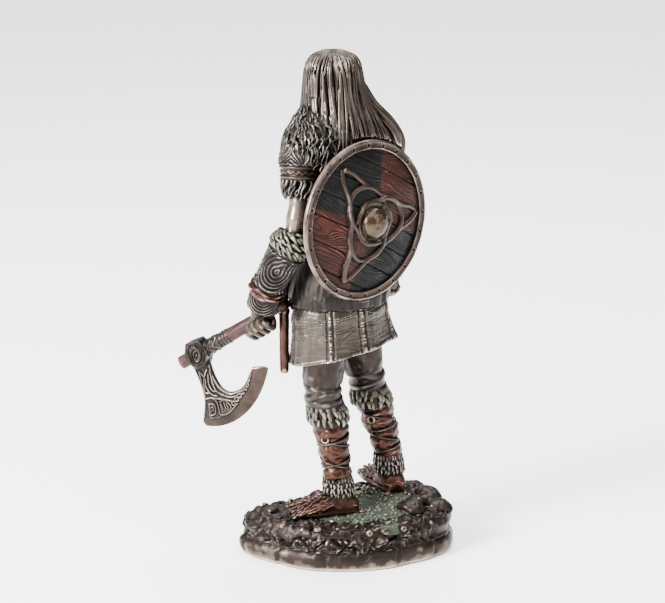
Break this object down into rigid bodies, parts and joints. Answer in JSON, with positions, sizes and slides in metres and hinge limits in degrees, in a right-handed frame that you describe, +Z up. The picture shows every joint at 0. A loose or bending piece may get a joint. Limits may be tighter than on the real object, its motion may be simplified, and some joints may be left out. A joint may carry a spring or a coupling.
{
  "type": "viking warrior figurine",
  "caption": "Cast figurine of a long-haired warrior on a mossy rock, a bearded axe in the left fist and a round shield with a knot on the back.",
  "frame": {"origin": "middle of the plinth's flat underside, on the surface it stands on", "axes": "+Z up the figure, -Y the way its chest faces, +X towards its left hand"},
  "size_m": [0.108, 0.1, 0.235],
  "materials": {
    "rock_bronze": "dark antique bronze, green moss on top",
    "figure_bronze": "antique bronze with copper leather and cream fur",
    "shield_bronze": "antique bronze rim and knot, stained boards",
    "axe_bronze": "antique bronze head, red-brown haft"
  },
  "bodies": {
    "root": {"base": "rock_bronze", "warrior": "figure_bronze", "shield": "shield_bronze", "axe": "axe_bronze"}
  },
  "joints": []
}
